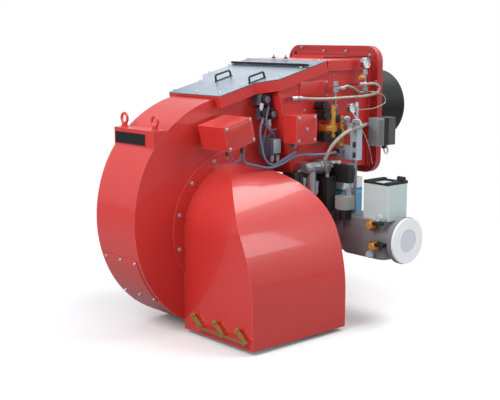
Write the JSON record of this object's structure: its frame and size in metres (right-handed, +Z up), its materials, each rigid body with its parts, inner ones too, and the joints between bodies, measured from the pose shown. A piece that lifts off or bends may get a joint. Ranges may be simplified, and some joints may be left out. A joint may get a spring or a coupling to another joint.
{
  "type": "industrial gas burner",
  "caption": "Monoblock boiler burner: volute fan casing with vaulted air-intake hood, sloping hatch, square boiler flange, flame tube, gas valve train and oil group.",
  "frame": {"origin": "flame axis at the boiler face of the mounting plate, centre of its four bolt holes", "axes": "+Y along the flame into the boiler, +X towards the air intake side, +Z up"},
  "size_m": [1.444, 1.9583, 1.4458],
  "materials": {
    "red_paint": "gloss",
    "hatch_metal": "satin",
    "black_plastic": "matte",
    "black_steel": "satin",
    "gasket_black": "matte",
    "zinc_steel": "satin",
    "brass": "satin",
    "yellow_zinc": "satin",
    "cast_grey": "matte",
    "actuator_grey": "matte",
    "light_plastic": "gloss",
    "cap_white": "satin",
    "aluminium_cast": "satin",
    "hose_braid": "satin",
    "cable_blue": "satin",
    "gauge_steel": "gloss",
    "needle_black": "matte",
    "motor_grey": "satin",
    "burnt_steel": "matte"
  },
  "bodies": {
    "boiler_mount": {"mounting_plate": "red_paint", "flame_tube": "black_steel", "hinge_brackets": "zinc_steel"},
    "burner": {"actuator_bracket": "black_plastic", "air_switches": "cable_blue", "braided_hoses": "hose_braid", "butterfly_body": "cast_grey", "cable_bundle": "cable_blue", "capillaries": "hose_braid", "combustion_head": "burnt_steel", "eyebolts": "red_paint", "gas_elbow": "red_paint", "gas_pressure_switch": "light_plastic", "gauge_cases": "gauge_steel", "hatch_frame": "red_paint", "hatch_gasket": "gasket_black", "head_housing": "red_paint", "head_servo": "actuator_grey", "hose_large": "hose_braid", "ignition_transformer": "black_plastic", "inlet_cone": "zinc_steel", "intake_hood": "red_paint", "intake_ring": "red_paint", "junction_box": "red_paint", "lifting_ledge": "red_paint", "motor_cowl": "motor_grey", "motor_frame": "motor_grey", "motor_terminal_box": "motor_grey", "name_plate": "black_steel", "oil_lance": "burnt_steel", "oil_pipes": "gauge_steel", "oil_pump": "zinc_steel", "oil_pump_motor": "aluminium_cast", "oil_valves": "brass", "pilot_line": "zinc_steel", "pilot_valve": "aluminium_cast", "rim_cover": "red_paint", "scroll_casing": "red_paint", "side_box": "red_paint", "test_plugs": "yellow_zinc", "train_bolts": "zinc_steel", "valve_actuator": "actuator_grey", "valve_body": "cast_grey", "valve_coils": "black_plastic", "valve_governor": "light_plastic"},
    "fan": {"impeller": "zinc_steel", "impeller_blades": "zinc_steel", "fan_shaft": "zinc_steel"},
    "damper_1": {"damper_blade_1": "zinc_steel"},
    "damper_2": {"damper_blade_2": "zinc_steel"},
    "damper_3": {"damper_blade_3": "zinc_steel"},
    "tie_bar": {"damper_tie_bar": "yellow_zinc"},
    "butterfly": {"butterfly_disc": "zinc_steel"},
    "sleeve": {"head_sleeve": "burnt_steel"},
    "front_cover": {"hatch_front": "hatch_metal", "hatch_handles": "black_plastic"},
    "rear_cover": {"hatch_rear": "hatch_metal"},
    "upper_needle": {"needle_upper": "needle_black"},
    "lower_needle": {"needle_lower": "needle_black"},
    "port_cap": {"flange_cap": "cap_white"}
  },
  "joints": [
    {"name": "swing_open", "type": "hinge", "parent": "boiler_mount", "child": "burner", "pos_m": [-0.345, -0.062, 0], "axis": [0, 0, -1], "range_deg": [0, 60]},
    {"name": "fan_spin", "type": "hinge", "parent": "burner", "child": "fan", "pos_m": [0, -0.956, -0.56], "axis": [1, 0, 0], "continuous": true},
    {"name": "damper_1_turn", "type": "hinge", "parent": "burner", "child": "damper_1", "pos_m": [0.26, -0.956, -0.975], "axis": [0, 1, 0], "range_deg": [0, 90]},
    {"name": "damper_2_turn", "type": "hinge", "parent": "burner", "child": "damper_2", "pos_m": [0.43, -0.956, -0.975], "axis": [0, 1, 0], "range_deg": [0, 90]},
    {"name": "damper_3_turn", "type": "hinge", "parent": "burner", "child": "damper_3", "pos_m": [0.6, -0.956, -0.975], "axis": [0, 1, 0], "range_deg": [0, 90]},
    {"name": "tie_bar_turn", "type": "hinge", "parent": "damper_1", "child": "tie_bar", "pos_m": [0.31669, -1.304, -1.02257], "axis": [0, 1, 0], "range_deg": [-90, 0]},
    {"name": "butterfly_turn", "type": "hinge", "parent": "burner", "child": "butterfly", "pos_m": [0, -0.294, -0.365], "axis": [1, 0, 0], "range_deg": [0, 90]},
    {"name": "sleeve_slide", "type": "slide", "parent": "burner", "child": "sleeve", "axis": [0, 1, 0], "range_m": [0, 0.03]},
    {"name": "front_cover_lift", "type": "slide", "parent": "burner", "child": "front_cover", "axis": [0, -0.2429, 0.9701], "range_m": [0, 0.15]},
    {"name": "rear_cover_lift", "type": "slide", "parent": "burner", "child": "rear_cover", "axis": [0, -0.2429, 0.9701], "range_m": [0, 0.15]},
    {"name": "upper_needle_turn", "type": "hinge", "parent": "burner", "child": "upper_needle", "pos_m": [0.366, -0.152, 0.268], "axis": [1, 0, 0], "range_deg": [-135, 135]},
    {"name": "lower_needle_turn", "type": "hinge", "parent": "burner", "child": "lower_needle", "pos_m": [0.444, -0.345, 0.033], "axis": [1, 0, 0], "range_deg": [-135, 135]},
    {"name": "port_cap_pull", "type": "slide", "parent": "burner", "child": "port_cap", "axis": [1, 0, 0], "range_m": [0, 0.06]}
  ],
  "couplings": [
    {"joint": "damper_2_turn", "follows": "damper_1_turn", "ratio": 1},
    {"joint": "damper_3_turn", "follows": "damper_1_turn", "ratio": 1},
    {"joint": "tie_bar_turn", "follows": "damper_1_turn", "ratio": -1}
  ]
}
